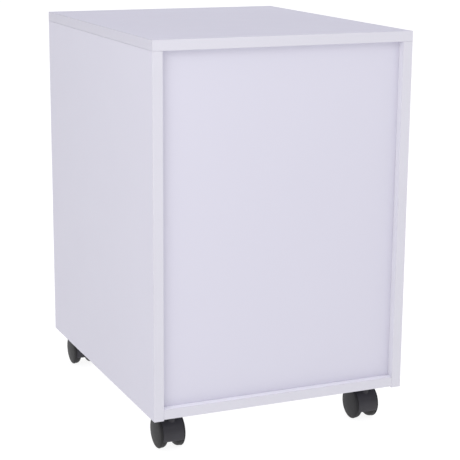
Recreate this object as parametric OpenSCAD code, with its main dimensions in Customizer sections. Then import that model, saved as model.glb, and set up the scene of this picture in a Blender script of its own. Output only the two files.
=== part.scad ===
// Rolling pedestal cabinet: white board carcass, three inset drawers on ball-bearing slides,
// a cam lock on the upper drawer and four twin-wheel swivel casters.
// Origin: on the floor, under the centre of the overall box. +Z up, the drawers face -Y.

/* [Cabinet] */
// Outside width of the carcass
width = 400; // [360:5:450]
// Depth of the carcass, without the handles
depth = 485; // [470:5:560]
// Overall height, casters included
height = 600; // [580:5:640]
// Thickness of the carcass boards and drawer fronts
panel_t = 15; // [15:1:18]
// How far the back panel sits in from the rear edges
back_recess = 12; // [8:1:16]
// How far the side panels reach below the bottom panel
side_drop = 2; // [1:0.5:4]

/* [Drawers] */
// Height of the upper and middle drawer fronts
small_front_h = 110; // [105:1:120]
// Gap above and below each drawer front
front_gap = 3; // [2:0.5:4]
// Gap at each end of a drawer front
front_end_gap = 2.5; // [2:0.5:4]
// Thickness of the drawer sides and back
box_t = 12; // [12:1:14]
// Length of the drawer sides behind the front
box_len = 415; // [405:1:420]
// Height of the sides of the upper and middle drawers
small_box_h = 80; // [60:1:84]
// Height of the sides of the file drawer
file_box_h = 240; // [200:1:245]
// How far the drawer sides stand above the lower edge of the front
box_lift = 12; // [10:1:16]
// Thickness of the drawer bottoms
bottom_t = 4; // [3:0.5:5]

/* [Slides] */
// Length of each slide
slide_len = 400; // [380:1:402]
// Room between a drawer side and the carcass
slide_t = 12.7; // [12.7:0.1:13]
// Height of the carcass member of a slide
slide_h = 45; // [44:0.5:46]

/* [Handles] */
// Distance between the two screws of a handle
handle_centres = 128; // [96:32:160]
// How far a handle stands out from the front
handle_reach = 30; // [24:1:36]
// Height of the handle bar
handle_h = 12; // [9:1:16]
// Thickness of the handle bar
handle_t = 6; // [5:0.5:8]

/* [Casters] */
// Height of a caster, from the floor to the top of its plate
caster_h = 62; // [61:0.5:66]
// Wheel diameter
wheel_d = 50; // [48:1:50]
// Width of one wheel
wheel_w = 16.7; // [15:0.1:17]
// Gap between the two wheels of a caster
wheel_gap = 8.6; // [8:0.1:10]
// Distance of the axle behind the swivel axis
trail = 12; // [11:1:15]
// Distance of the swivel axis from the outside of the side panel
caster_in_x = 40; // [38:1:60]
// Distance of the front swivel axes from the front edge
caster_front_in = 33; // [32:1:50]
// Distance of the rear swivel axes from the rear edge
caster_rear_in = 39; // [32:1:50]

/* [Hidden] */
$fn = 64;
eps = 0.5;                                   // overrun of a cutting shape
run_fit = 0.05;                              // radial clearance of a turning fit
y_front = handle_reach - (depth + handle_reach) / 2;
y_rear = y_front + depth;
x_in = width / 2 - panel_t;                  // inner face of a side panel
z_floor = caster_h;                          // underside of the bottom panel
z_in_low = z_floor + panel_t;                // lowest point of the drawer opening
z_in_high = height - panel_t;                // highest point of the drawer opening
y_back = y_rear - back_recess - panel_t;     // inner face of the back panel

// Drawer fronts, from the top down
front_w = 2 * (x_in - front_end_gap);
upper_z = z_in_high - front_gap - small_front_h;
middle_z = upper_z - front_gap - small_front_h;
file_z = z_in_low + front_gap;
file_front_h = middle_z - front_gap - file_z;
y_box = y_front + panel_t;                   // rear face of a drawer front
box_w = 2 * (x_in - slide_t);
groove_z = 8;                                // drawer bottom above the lower edge of the sides
groove_deep = 6;
groove_play = 0.2;
handle_drop = small_front_h / 2;             // handle below the top of its front

// Slides
steel_t = 1.2;
slide_y = y_box + 3;
cabinet_lip = 3.2;
member_h = 34;                               // height of the travelling member
member_a = 7.4;                              // inner face of its web, from the drawer side
drawer_rail_h = 26;
drawer_rail_a = 6.6;
rail_screw_y = [35, slide_len / 2, slide_len - 45];

// Cam fittings
cam_d = 15;
cam_deep = 12.5;
cam_back = 34;                               // cam axis from the joint
cam_play = 0.1;
bolt_d = 6;
bolt_hole_d = 8;
thread_d = 5;
thread_len = 11;
side_cam_z = z_in_low + 60;
cam_in_y = 76;                               // cam bolts from the front and rear edges

// Wood screws
screw_d = 3.5;
screw_len = 11;
screw_head_d = 7;
screw_head_t = 1.6;

// Lock
lock_x = 140;
lock_z = upper_z + small_front_h - 16;
housing_d = 16;
bezel_d = 20;
bezel_t = 2;
housing_len = 22;
plug_d = 11;
plug_end = 26;
cam_arm_y = 23;
cam_arm_len = 16;
cam_arm_w = 10;
strike_y = 20;
strike_z = lock_z + 9.5;

// Hanging-file rails
file_rail_t = 3;
file_rail_h = 30;
file_rail_rise = 18;

// Casters
plate_w = 38;
plate_t = 2;
plate_hole = 14;                             // screw from the centre of the plate
kingpin_d = 8;
kingpin_low = 48.5;
axle_d = 6;
wheel_r = wheel_d / 2;
wheel_in = wheel_gap / 2;
flange_w = 4.8;                              // outer part of a wheel, beside the hood
tread_drop = 1.4;                            // step down to the tread under the hood
web_half = wheel_in - 0.3;
hood_in = wheel_r - 0.9;
hood_out = wheel_r + 0.9;
hood_half = wheel_in + wheel_w - flange_w - 0.3;
hood_low_z = 14.5;                           // lower edge of the hood above the floor
hood_end_angle = 128;                        // front edge of the hood, up from the rear
drum_r = 19;
neck_d = 15;
neck_top = caster_h - plate_t - 0.5;
axle_half = wheel_in + 12;
caster_x = width / 2 - caster_in_x;

DRAWERS = ["upper", "middle", "file"];
CASTERS = ["front_left", "front_right", "rear_left", "rear_right"];

// ---------- helpers ----------
module box(low, high) {
    translate(low) cube(high - low);
}

// Draws its children on the right and mirrored on the left
module both_sides() {
    for (s = [0, 1])
        mirror([s, 0, 0]) children();
}

// A cylinder along +Y from y = 0
module rod_y(d, len) {
    rotate([-90, 0, 0]) cylinder(d = d, h = len);
}

// A cylinder along X, centred
module rod_x(d, len) {
    rotate([0, 90, 0]) cylinder(d = d, h = len, center = true);
}

// A square with round corners, centred
module round_square(w, r) {
    square([w - 2 * r, w], center = true);
    square([w, w - 2 * r], center = true);
    for (x = [-1, 1], y = [-1, 1])
        translate([x * (w / 2 - r), y * (w / 2 - r)]) circle(r);
}

// ---------- cam fittings ----------
// A fitting lies with its joint at z = 0, its thread along +Z and its cam opening at +X.
module at_top_joints() {
    both_sides()
        for (y = [y_front + cam_in_y, y_rear - cam_in_y])
            translate([width / 2 - panel_t / 2, y, z_in_high]) rotate([0, 0, 180]) children();
}

module at_bottom_joints() {
    both_sides()
        for (y = [y_front + cam_in_y, y_rear - cam_in_y])
            translate([x_in, y, z_floor + panel_t / 2]) rotate([0, 90, 0]) children();
}

module at_back_joints() {
    both_sides()
        for (z = [side_cam_z, z_in_high - 60])
            translate([x_in, y_back + panel_t / 2, z])
                rotate([-90, 0, 0]) rotate([0, 90, 0]) children();
}

module cam_fitting() {
    translate([0, 0, -cam_back]) cylinder(d = bolt_d, h = cam_back);
    translate([0, 0, -eps]) cylinder(d = thread_d - 2 * cam_play, h = thread_len + eps);
    difference() {
        translate([panel_t / 2 - cam_deep + cam_play, 0, -cam_back])
            rotate([0, 90, 0]) cylinder(d = cam_d - 2 * cam_play, h = cam_deep - 3 * cam_play);
        translate([0, 0, -cam_back - bolt_d / 2])
            cylinder(d = bolt_d + 1, h = cam_back);
        translate([panel_t / 2 - 2, 0, -cam_back]) {
            cube([5, 1.2, 8], center = true);
            cube([5, 8, 1.2], center = true);
        }
    }
}

module cam_pocket() {
    translate([panel_t / 2 - cam_deep, 0, -cam_back])
        rotate([0, 90, 0]) cylinder(d = cam_d, h = cam_deep + eps);
    translate([0, 0, -cam_back]) cylinder(d = bolt_hole_d, h = cam_back + eps);
}

module thread_hole() {
    translate([0, 0, -eps]) cylinder(d = thread_d, h = thread_len + 2 * eps);
}

module cam_fittings() {
    color("silver") {
        at_top_joints() cam_fitting();
        at_bottom_joints() cam_fitting();
        at_back_joints() cam_fitting();
    }
}

// ---------- carcass ----------
module top_panel() {
    color("whitesmoke") difference() {
        box([-width / 2, y_front, z_in_high], [width / 2, y_rear, height]);
        at_top_joints() thread_hole();
        at_strike_screws() screw_hole();
    }
}

module side_panel() {
    difference() {
        box([x_in, y_front, z_floor - side_drop], [width / 2, y_rear, z_in_high]);
        at_top_joints() cam_pocket();
        at_bottom_joints() thread_hole();
        at_back_joints() thread_hole();
        at_rail_screws() screw_hole();
    }
}

module right_side_panel() {
    color("whitesmoke") side_panel();
}

module left_side_panel() {
    color("whitesmoke") mirror([1, 0, 0]) side_panel();
}

module bottom_panel() {
    color("whitesmoke") difference() {
        box([-x_in, y_front, z_floor], [x_in, y_rear, z_in_low]);
        at_bottom_joints() cam_pocket();
        at_casters() at_plate_holes() rotate([180, 0, 0]) screw_hole();
    }
}

module back_panel() {
    color("whitesmoke") difference() {
        box([-x_in, y_back, z_in_low], [x_in, y_back + panel_t, z_in_high]);
        at_back_joints() cam_pocket();
    }
}

// ---------- wood screws: origin under the head, shank along -Z ----------
module wood_screw() {
    difference() {
        union() {
            translate([0, 0, -screw_len]) cylinder(d1 = 1.4, d2 = screw_d, h = 3);
            translate([0, 0, 3 - screw_len]) cylinder(d = screw_d, h = screw_len - 3);
            cylinder(d1 = screw_head_d, d2 = screw_head_d - 2, h = screw_head_t);
        }
        translate([0, 0, screw_head_t]) {
            cube([4, 0.8, 2], center = true);
            cube([0.8, 4, 2], center = true);
        }
    }
}

// The hole also takes what the screw holds, so it is as long as the screw
module screw_hole() {
    translate([0, 0, -screw_len - eps]) cylinder(d = screw_d + 2 * run_fit, h = screw_len + eps + 0.1);
}

module at_rail_screws() {
    for (z = [slide_z(upper_z, small_box_h), slide_z(middle_z, small_box_h), slide_z(file_z, file_box_h)])
        for (y = rail_screw_y)
            translate([x_in - steel_t, slide_y + y, z]) rotate([0, -90, 0]) children();
}

module at_strike_screws() {
    for (x = [-12, 12])
        translate([lock_x + x, y_front + strike_y + 11, z_in_high - steel_t])
            rotate([180, 0, 0]) children();
}

module wood_screws() {
    color("silver") {
        both_sides() at_rail_screws() wood_screw();
        at_strike_screws() wood_screw();
    }
}

// ---------- slides ----------
function slide_z(front_z, box_h) = front_z + box_lift + box_h / 2;

// Channel outlines in a slide's own plane: x away from the drawer side, y up
module channel(web_from, web_to, flange_to, h) {
    lo = min(web_from, flange_to);
    hi = max(web_to, flange_to);
    difference() {
        translate([lo, -h / 2]) square([hi - lo, h]);
        translate([flange_to > web_to ? web_to : lo - eps, steel_t - h / 2])
            square([flange_to > web_to ? hi - web_to + eps : web_from - lo + eps, h - 2 * steel_t]);
    }
}

// Lays an outline along a slide, on both sides of a drawer
module slide_pair(z) {
    both_sides()
        translate([x_in - slide_t, slide_y + slide_len, z])
            rotate([90, 0, 0]) linear_extrude(slide_len) children();
}

module cabinet_rails(front_z, box_h) {
    z = slide_z(front_z, box_h);
    color("silver") difference() {
        slide_pair(z) {
            channel(slide_t - steel_t, slide_t, 3.5, slide_h);
            for (s = [-1, 1])
                translate([3.5, s * (slide_h / 2 - cabinet_lip / 2) - cabinet_lip / 2])
                    square([steel_t, cabinet_lip]);
        }
        both_sides() at_rail_screws() screw_hole();
    }
}

module slide_members(front_z, box_h) {
    color("silver") slide_pair(slide_z(front_z, box_h))
        channel(member_a, member_a + steel_t, 2.2, member_h);
}

module drawer_rails(front_z, box_h) {
    color("silver") slide_pair(slide_z(front_z, box_h))
        channel(0, steel_t, drawer_rail_a, drawer_rail_h);
}

// ---------- drawers ----------
module at_handle_screws(front_z, front_h) {
    for (x = [-handle_centres / 2, handle_centres / 2])
        translate([x, y_front, front_z + front_h - handle_drop]) children();
}

module drawer_front(front_z, front_h) {
    difference() {
        box([-front_w / 2, y_front, front_z], [front_w / 2, y_box, front_z + front_h]);
        groove(front_z);
        at_handle_screws(front_z, front_h) translate([0, -eps, 0]) rod_y(4.5, panel_t + 2 * eps);
    }
}

// The groove for the drawer bottom, cut through whatever it crosses
module groove(front_z) {
    z = front_z + box_lift + groove_z;
    w = box_w / 2 - box_t + groove_deep;
    box([-w, y_box - groove_deep, z], [w, y_box + box_len + eps, z + bottom_t + groove_play]);
}

module drawer_sides(front_z, box_h) {
    z = front_z + box_lift;
    color("white") difference() {
        both_sides() box([box_w / 2 - box_t, y_box, z], [box_w / 2, y_box + box_len, z + box_h]);
        groove(front_z);
    }
}

module drawer_back(front_z, box_h) {
    z = front_z + box_lift;
    w = box_w / 2 - box_t;
    color("white")
        box([-w, y_box + box_len - box_t, z + groove_z + bottom_t + groove_play],
            [w, y_box + box_len, z + box_h]);
}

module drawer_bottom(front_z) {
    z = front_z + box_lift + groove_z + groove_play / 2;
    w = box_w / 2 - box_t + groove_deep - groove_play;
    color("white")
        box([-w, y_box - groove_deep + groove_play, z], [w, y_box + box_len, z + bottom_t]);
}

// Bow handle: a flat bar bent forward at both ends
module bow(half, reach, r) {
    translate([-half, r - reach]) square([2 * half, reach - r]);
    translate([r - half, -reach]) square([2 * (half - r), reach]);
    for (s = [-1, 1])
        translate([s * (half - r), r - reach]) circle(r);
}

module handle(front_z, front_h) {
    half = handle_centres / 2 + 5;
    color("gainsboro") difference() {
        translate([0, y_front, front_z + front_h - handle_drop - handle_h / 2])
            linear_extrude(handle_h) difference() {
                bow(half, handle_reach, 11);
                translate([0, eps]) bow(half - 10, handle_reach - handle_t + eps, 6);
            }
        at_handle_screws(front_z, front_h) translate([0, -12, 0]) rod_y(4, 12 + eps);
    }
}

module handle_screws(front_z, front_h) {
    color("silver") at_handle_screws(front_z, front_h) difference() {
        union() {
            translate([0, -11, 0]) rod_y(3.9, 11 + panel_t);
            translate([0, panel_t, 0]) rod_y(8, 2.4);
        }
        translate([0, panel_t + 2.4, 0]) {
            cube([5, 2.4, 1], center = true);
            cube([1, 2.4, 5], center = true);
        }
    }
}

module upper_drawer_front() {
    color("whitesmoke") difference() {
        drawer_front(upper_z, small_front_h);
        translate([lock_x, y_front - eps, lock_z]) rod_y(housing_d + 0.2, panel_t + 2 * eps);
    }
}

module middle_drawer_front() {
    color("whitesmoke") drawer_front(middle_z, small_front_h);
}

module file_drawer_front() {
    color("whitesmoke") drawer_front(file_z, file_front_h);
}

// Flat steel rails inside the file drawer, which carry hanging folders
module hanging_rails() {
    x = box_w / 2 - box_t;
    z = file_z + box_lift + file_box_h + file_rail_rise;
    color("silver") both_sides()
        box([x - file_rail_t, y_box + 6, z - file_rail_h], [x, y_box + box_len - box_t - 6, z]);
}

// ---------- lock ----------
module at_lock() {
    translate([lock_x, y_front, lock_z]) children();
}

module lock_housing() {
    color("silver") at_lock() {
        difference() {
            union() {
                translate([0, -bezel_t, 0]) rod_y(bezel_d, bezel_t);
                rod_y(housing_d, housing_len);
            }
            translate([0, -bezel_t - eps, 0])
                rod_y(plug_d + 2 * run_fit, bezel_t + housing_len + 2 * eps);
        }
        translate([0, panel_t, 0]) difference() {
            rotate([-90, 0, 0]) cylinder(d = 21, h = 3, $fn = 6);
            translate([0, -eps, 0]) rod_y(housing_d + 0.1, 3 + 2 * eps);
        }
    }
}

module lock_plug() {
    color("silver") at_lock() difference() {
        union() {
            translate([0, -bezel_t - 0.6, 0]) rod_y(plug_d, bezel_t + 0.6 + housing_len + 0.6);
            rod_y(6, plug_end);
        }
        translate([0, -bezel_t - 0.6, 0]) cube([1.6, 10, 7], center = true);
    }
}

// The arm lies level when the drawer is unlocked and turns up behind the strike
module lock_cam() {
    color("silver") at_lock() translate([0, cam_arm_y, 0]) difference() {
        union() {
            rod_y(cam_arm_w, 2);
            box([-cam_arm_len, 0, -cam_arm_w / 2], [0, 2, cam_arm_w / 2]);
        }
        translate([0, -eps, 0]) rod_y(6 + 2 * run_fit, 2 + 2 * eps);
    }
}

module lock_strike() {
    x0 = lock_x - 20;
    x1 = lock_x + 20;
    y = y_front + strike_y;
    color("silver") difference() {
        union() {
            box([x0, y, strike_z], [x1, y + steel_t, z_in_high]);
            box([x0, y, z_in_high - steel_t], [x1, y + 20, z_in_high]);
        }
        at_strike_screws() screw_hole();
    }
}

// ---------- casters ----------
function caster_sign(name) = (name == "front_right" || name == "rear_right") ? 1 : -1;
function caster_y(name) = (name == "front_left" || name == "front_right")
    ? y_front + caster_front_in : y_rear - caster_rear_in;

// Swivel axis of one caster, on the floor
module at_caster(name) {
    translate([caster_sign(name) * caster_x, caster_y(name), 0]) children();
}

module at_casters() {
    for (name = CASTERS)
        at_caster(name) children();
}

module at_plate_holes() {
    for (x = [-1, 1], y = [-1, 1])
        translate([x * plate_hole, y * plate_hole, caster_h - plate_t]) children();
}

module caster_screws() {
    color("silver") at_casters() at_plate_holes() rotate([180, 0, 0]) wood_screw();
}

// Plate with its riveted kingpin
module caster_plate(name) {
    color("silver") at_caster(name) {
        difference() {
            translate([0, 0, caster_h - plate_t]) linear_extrude(plate_t) round_square(plate_w, 4);
            at_plate_holes() rotate([180, 0, 0]) screw_hole();
        }
        translate([0, 0, kingpin_low]) cylinder(d = kingpin_d, h = caster_h - plate_t - kingpin_low);
    }
}

// Draws an outline in the caster's side plane (x backwards, y up), as thick as 2 * half
module side_plate(half) {
    translate([-half, 0, 0]) rotate([90, 0, 90]) linear_extrude(2 * half) children();
}

// Sector between two angles, measured up from the rear
module sector(from, to, r) {
    step = (to - from) / 4;
    polygon(concat([[0, 0]], [for (i = [0:4]) 2 * r * [cos(from + i * step), sin(from + i * step)]]));
}

module caster_body(name) {
    low = asin((hood_low_z - wheel_r) / hood_out);
    color("dimgray") at_caster(name) difference() {
        union() {
            side_plate(web_half) translate([-trail, wheel_r]) {
                circle(drum_r);
                intersection() {
                    circle(hood_in + 1);
                    sector(low, hood_end_angle, hood_out);
                }
            }
            side_plate(hood_half) translate([-trail, wheel_r]) intersection() {
                difference() {
                    circle(hood_out);
                    circle(hood_in);
                }
                sector(low, hood_end_angle, hood_out);
            }
            difference() {
                translate([0, 0, wheel_r]) cylinder(d = neck_d, h = neck_top - wheel_r);
                translate([0, -trail, wheel_r]) rod_x(2 * hood_in + 1, 2 * neck_d);
            }
        }
        translate([0, 0, kingpin_low - 0.5]) cylinder(d = kingpin_d + 2 * run_fit, h = caster_h);
        translate([0, -trail, wheel_r]) rod_x(axle_d + 0.04, 4 * web_half);
    }
}

module axle(name) {
    color("silver") at_caster(name) translate([0, -trail, wheel_r]) rod_x(axle_d, 2 * axle_half);
}

// Wheel outline: x is the radius, y runs from the inner side to the domed outer face.
// The outer part runs beside the hood at full radius, and the tread inside it is rounded inwards.
module wheel_outline() {
    shoulder = 3.4;
    shoulder_y = wheel_w - 4.4;
    flange_y = wheel_w - flange_w;
    round_in = 7;
    tread_r = wheel_r - tread_drop;
    pocket_r = 16;
    disc_t = 3.5;
    hub_r = 6.5;
    dome_r = 3 * wheel_d;
    difference() {
        union() {
            square([tread_r - round_in, flange_y + eps]);
            translate([0, round_in]) square([tread_r, flange_y - round_in + eps]);
            translate([tread_r - round_in, round_in]) circle(round_in);
            intersection() {
                union() {
                    square([wheel_r - shoulder, wheel_w]);
                    square([wheel_r, shoulder_y]);
                    translate([wheel_r - shoulder, shoulder_y]) circle(shoulder);
                }
                translate([0, wheel_w - dome_r]) circle(dome_r, $fn = 720);
                translate([0, flange_y]) square([wheel_r + eps, flange_w + eps]);
            }
        }
        translate([hub_r, -eps]) square([pocket_r - hub_r, wheel_w - disc_t + eps]);
        translate([-eps, -eps]) square([axle_d / 2 + run_fit + eps, wheel_w - disc_t + eps]);
    }
}

// side is 1 for the wheel at +X and -1 for the wheel at -X
module wheel(name, side) {
    color("dimgray") at_caster(name) translate([side * wheel_in, -trail, wheel_r])
        rotate([0, side * 90, 0]) rotate_extrude() wheel_outline();
}

top_panel();
left_side_panel();
right_side_panel();
bottom_panel();
back_panel();
cam_fittings();
wood_screws();
caster_screws();
lock_strike();
hanging_rails();
lock_housing();
lock_plug();
lock_cam();
upper_drawer_front();
middle_drawer_front();
file_drawer_front();

for (name = DRAWERS) {
    z = name == "upper" ? upper_z : name == "middle" ? middle_z : file_z;
    front_h = name == "file" ? file_front_h : small_front_h;
    box_h = name == "file" ? file_box_h : small_box_h;
    cabinet_rails(z, box_h);
    slide_members(z, box_h);
    drawer_rails(z, box_h);
    drawer_sides(z, box_h);
    drawer_back(z, box_h);
    drawer_bottom(z);
    handle(z, front_h);
    handle_screws(z, front_h);
}

for (name = CASTERS) {
    outer = caster_sign(name);
    caster_plate(name);
    caster_body(name);
    axle(name);
    wheel(name, outer);
    wheel(name, -outer);
}
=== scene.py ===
"""Looks of the rolling pedestal cabinet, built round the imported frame. Everything is in metres."""

import math

import bmesh
import bpy
from mathutils import Matrix, Vector


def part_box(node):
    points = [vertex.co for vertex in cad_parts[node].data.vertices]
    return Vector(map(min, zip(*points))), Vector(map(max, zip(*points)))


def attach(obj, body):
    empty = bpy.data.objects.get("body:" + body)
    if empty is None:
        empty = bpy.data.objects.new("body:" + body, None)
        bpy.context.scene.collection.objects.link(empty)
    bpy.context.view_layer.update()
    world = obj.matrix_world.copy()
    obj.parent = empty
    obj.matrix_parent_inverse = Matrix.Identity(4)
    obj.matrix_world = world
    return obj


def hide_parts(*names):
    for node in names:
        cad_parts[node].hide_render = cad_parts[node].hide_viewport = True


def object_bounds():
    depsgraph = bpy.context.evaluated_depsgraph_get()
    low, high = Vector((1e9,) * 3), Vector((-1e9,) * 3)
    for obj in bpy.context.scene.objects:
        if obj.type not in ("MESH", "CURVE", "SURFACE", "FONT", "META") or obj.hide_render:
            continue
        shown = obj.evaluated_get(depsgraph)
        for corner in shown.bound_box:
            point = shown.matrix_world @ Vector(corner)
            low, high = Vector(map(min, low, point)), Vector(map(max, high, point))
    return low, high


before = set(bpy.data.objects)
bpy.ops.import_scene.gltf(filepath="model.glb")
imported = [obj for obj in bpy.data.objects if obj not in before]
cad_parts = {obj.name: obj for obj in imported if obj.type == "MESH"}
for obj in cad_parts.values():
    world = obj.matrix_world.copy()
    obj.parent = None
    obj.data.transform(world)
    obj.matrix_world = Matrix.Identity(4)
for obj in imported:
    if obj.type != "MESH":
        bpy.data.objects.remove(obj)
cad_low, cad_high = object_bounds()

MM = 0.001
SAME = 1e-6                                  # places this near to each other count as one
STEEL, STEEL_EDGE = 1.2 * MM, 0.3 * MM       # thickness of bent sheet, and rounding of its edges
DRAWERS = ["upper", "middle", "file"]
CASTERS = ["front_left", "front_right", "rear_left", "rear_right"]
X, Y, Z = Vector((1, 0, 0)), Vector((0, 1, 0)), Vector((0, 0, 1))

# Places that several pieces share, taken from the frame
side_low, side_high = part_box("right_side_panel")
floor_low, floor_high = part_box("bottom_panel")
board_t = side_high.x - side_low.x
x_in = side_low.x                            # inner face of the right side board
y_front, y_rear = side_low.y, side_high.y
z_in_low, z_in_high = floor_high.z, side_high.z
back_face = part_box("back_panel")[0].y        # inner face of the back board
drawer_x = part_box("upper_drawer_sides")[1].x      # outer face of the right drawer sides


# ---------------------------------------------------------------- camera and light
CAMERA_PLACE = Vector((0.857, 2.024, 0.791))
CAMERA_YAW, CAMERA_PITCH, CAMERA_ROLL = 23.6, 13.43, 0.44      # degrees: sideways, downwards and on its axis
CAMERA_LENS, CAMERA_SENSOR = 110.5, 36.0                       # millimetres


def make_camera():
    """The photo's camera: behind the cabinet, above it and towards its +X side."""
    data = bpy.data.cameras.new("camera")
    data.sensor_width = CAMERA_SENSOR
    data.lens = CAMERA_LENS
    yaw, pitch, roll = math.radians(CAMERA_YAW), math.radians(CAMERA_PITCH), math.radians(CAMERA_ROLL)
    ahead = Vector((-math.sin(yaw) * math.cos(pitch), -math.cos(yaw) * math.cos(pitch), -math.sin(pitch)))
    level = Vector((-math.cos(yaw), math.sin(yaw), 0))
    upright = level.cross(ahead)
    right = level * math.cos(roll) + upright * math.sin(roll)
    up = upright * math.cos(roll) - level * math.sin(roll)
    camera = bpy.data.objects.new("camera", data)
    camera.matrix_world = axes_at(CAMERA_PLACE, right, up, -ahead)
    bpy.context.scene.collection.objects.link(camera)
    bpy.context.scene.camera = camera


# Name, place, width and height, power in watts, and whether it shows in reflections
SOFTBOXES = [
    ("key", (1.25, 1.2, 1.2), (0.9, 0.9), 9.7, True),
    ("front", (-0.65, 1.79, 1.49), (0.9, 0.9), 3.5, True),
    ("fill", (-0.7, -1.6, 1.1), (1.0, 1.0), 9.0, False),
]


def make_softbox(name, place, size, power, glossy):
    """An area light that faces the middle of the cabinet and can't be seen itself."""
    data = bpy.data.lights.new(name, "AREA")
    data.shape = "RECTANGLE"
    data.size, data.size_y = size
    data.energy = power
    light = bpy.data.objects.new(name, data)
    light.location = place
    light.visible_glossy = glossy
    light.visible_camera = False
    centre = Vector((0, 0, (cad_low.z + cad_high.z) / 2))
    light.rotation_mode = "QUATERNION"
    light.rotation_quaternion = (centre - light.location).to_track_quat("-Z", "Y")
    bpy.context.scene.collection.objects.link(light)


# The white room's strength at its walls, just above them and overhead, and how much it weakens towards +X
WORLD_WALL, WORLD_SKY, WORLD_TOP, WORLD_LEAN = 1.0, 0.15, 1.18, 0.32
WORLD_WALL_END, WORLD_SKY_AT = 0.06, 0.2       # heights, with 1 straight overhead
WORLD_COOL = 1.07                              # extra blue overhead


def make_world():
    """A white room: bright at the horizon, dim just above it and brightest overhead."""
    world = bpy.data.worlds.new("white_room")
    world.use_nodes = True
    nodes, links = world.node_tree.nodes, world.node_tree.links
    background = nodes["Background"]
    place = nodes.new("ShaderNodeTexCoord")
    split = nodes.new("ShaderNodeSeparateXYZ")
    height = nodes.new("ShaderNodeValToRGB")
    stops = height.color_ramp.elements
    stops[0].position, stops[1].position = WORLD_WALL_END, 1.0
    stops.new(WORLD_SKY_AT)
    for stop, strength in zip(stops, (WORLD_WALL, WORLD_SKY, WORLD_TOP)):
        stop.color = (strength, strength, strength, 1)
    stops[-1].color = (WORLD_TOP, WORLD_TOP, WORLD_TOP * WORLD_COOL, 1)
    sideways = nodes.new("ShaderNodeMath")
    sideways.operation = "MULTIPLY_ADD"
    sideways.inputs[1].default_value = -WORLD_LEAN
    sideways.inputs[2].default_value = 1.0
    links.new(place.outputs["Generated"], split.inputs[0])
    links.new(split.outputs["Z"], height.inputs["Fac"])
    links.new(split.outputs["X"], sideways.inputs[0])
    links.new(height.outputs["Color"], background.inputs["Color"])
    links.new(sideways.outputs[0], background.inputs["Strength"])
    bpy.context.scene.world = world


FLOOR_HALF, FLOOR_GLOW = 30.0, 0.9


def make_floor():
    """A white table top, lit from below as a studio one is, so that only a faint shadow lies on it."""
    mesh = bpy.data.meshes.new("floor")
    corners = [(u * FLOOR_HALF, v * FLOOR_HALF, 0) for u, v in ((-1, -1), (1, -1), (1, 1), (-1, 1))]
    mesh.from_pydata(corners, [], [(0, 1, 2, 3)])
    floor = bpy.data.objects.new("floor", mesh)
    bpy.context.scene.collection.objects.link(floor)
    paper = surface("floor_paper", (0.18, 0.18, 0.18), 0.9, spread=0.01, mottle=2, grain=(300, 0.1))
    shader = paper.node_tree.nodes["Principled BSDF"]
    shader.inputs["Emission Color"].default_value = (1, 1, 1, 1)
    shader.inputs["Emission Strength"].default_value = FLOOR_GLOW
    mesh.materials.append(paper)


# ---------------------------------------------------------------- materials
def surface(name, colour, roughness, spread=0.03, mottle=6.0, grain=(900, 0.1), stretch=(1, 1, 1),
            metallic=0.0, polish=0.06, specular=0.5):
    """A procedural finish: slow colour drift, roughness drift and a fine relief.

    spread is how far the colour drifts, mottle its scale, polish how far the roughness drifts, grain the
    relief's scale and its depth in mm, and stretch the scale of all three along each axis."""
    material = bpy.data.materials.new(name)
    material.use_nodes = True
    tree = material.node_tree
    shader = tree.nodes["Principled BSDF"]
    shader.inputs["Metallic"].default_value = metallic
    shader.inputs["Specular IOR Level"].default_value = specular
    place = tree.nodes.new("ShaderNodeTexCoord")
    turn = tree.nodes.new("ShaderNodeMapping")
    turn.inputs["Scale"].default_value = stretch
    tree.links.new(place.outputs["Object"], turn.inputs["Vector"])

    drift = noise(tree, turn, mottle, 3)
    ramp = tree.nodes.new("ShaderNodeValToRGB")
    darker, lighter = ramp.color_ramp.elements
    darker.position, lighter.position = 0.3, 0.7
    darker.color = (*[c * (1 - spread) for c in colour], 1)
    lighter.color = (*[min(1, c * (1 + spread)) for c in colour], 1)
    tree.links.new(drift.outputs["Fac"], ramp.inputs["Fac"])
    tree.links.new(ramp.outputs["Color"], shader.inputs["Base Color"])

    gloss = noise(tree, turn, mottle * 5, 4)
    span = tree.nodes.new("ShaderNodeMapRange")
    span.inputs["To Min"].default_value = roughness - polish
    span.inputs["To Max"].default_value = roughness + polish
    tree.links.new(gloss.outputs["Fac"], span.inputs["Value"])
    tree.links.new(span.outputs[0], shader.inputs["Roughness"])

    relief = noise(tree, turn, grain[0], 2)
    bump = tree.nodes.new("ShaderNodeBump")
    bump.inputs["Strength"].default_value = 1.0
    bump.inputs["Distance"].default_value = grain[1] * MM
    tree.links.new(relief.outputs["Fac"], bump.inputs["Height"])
    tree.links.new(bump.outputs["Normal"], shader.inputs["Normal"])
    return material


def noise(tree, place, scale, detail):
    """A noise texture that follows a mapping node."""
    node = tree.nodes.new("ShaderNodeTexNoise")
    node.inputs["Scale"].default_value = scale
    node.inputs["Detail"].default_value = detail
    tree.links.new(place.outputs[0], node.inputs["Vector"])
    return node


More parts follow.
